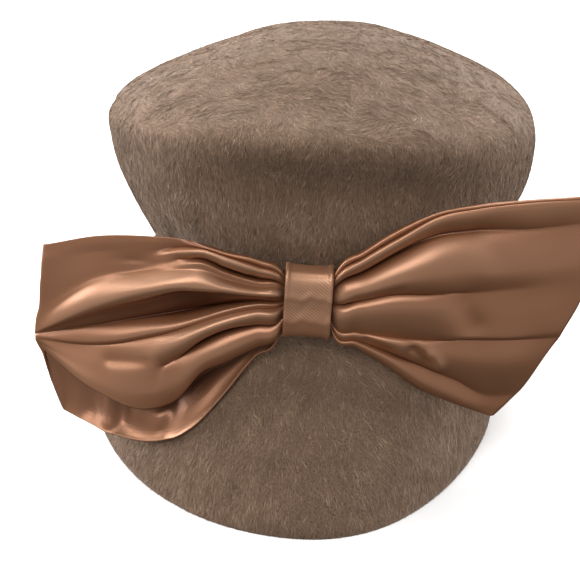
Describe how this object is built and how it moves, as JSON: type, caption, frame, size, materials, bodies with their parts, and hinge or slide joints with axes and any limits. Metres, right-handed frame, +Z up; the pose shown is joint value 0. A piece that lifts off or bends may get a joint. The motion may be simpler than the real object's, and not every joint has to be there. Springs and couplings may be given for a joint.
{
  "type": "mohair hat with satin bow",
  "caption": "Brushed mohair felt hat with a tall flared crown, narrow waist band, drooping brim and a wide folded satin bow held by a wrapped knot at the front.",
  "frame": {"origin": "on the resting plane, under the middle of the whole object's bounding box", "axes": "+Z up through the crown, -Y out of the front of the hat where the bow is, +X to the right seen from the front"},
  "size_m": [0.2416, 0.2696, 0.1899],
  "materials": {
    "mohair_felt": "brushed long-nap mohair felt, matt, warm grey-brown with paler hairs",
    "satin": "duchess satin, soft sheen, copper brown with pale highlights"
  },
  "bodies": {
    "root": {"crown": "mohair_felt", "brim": "mohair_felt", "waist_band": "satin", "bow_left_loop": "satin", "bow_right_loop": "satin", "bow_knot": "satin"}
  },
  "joints": []
}
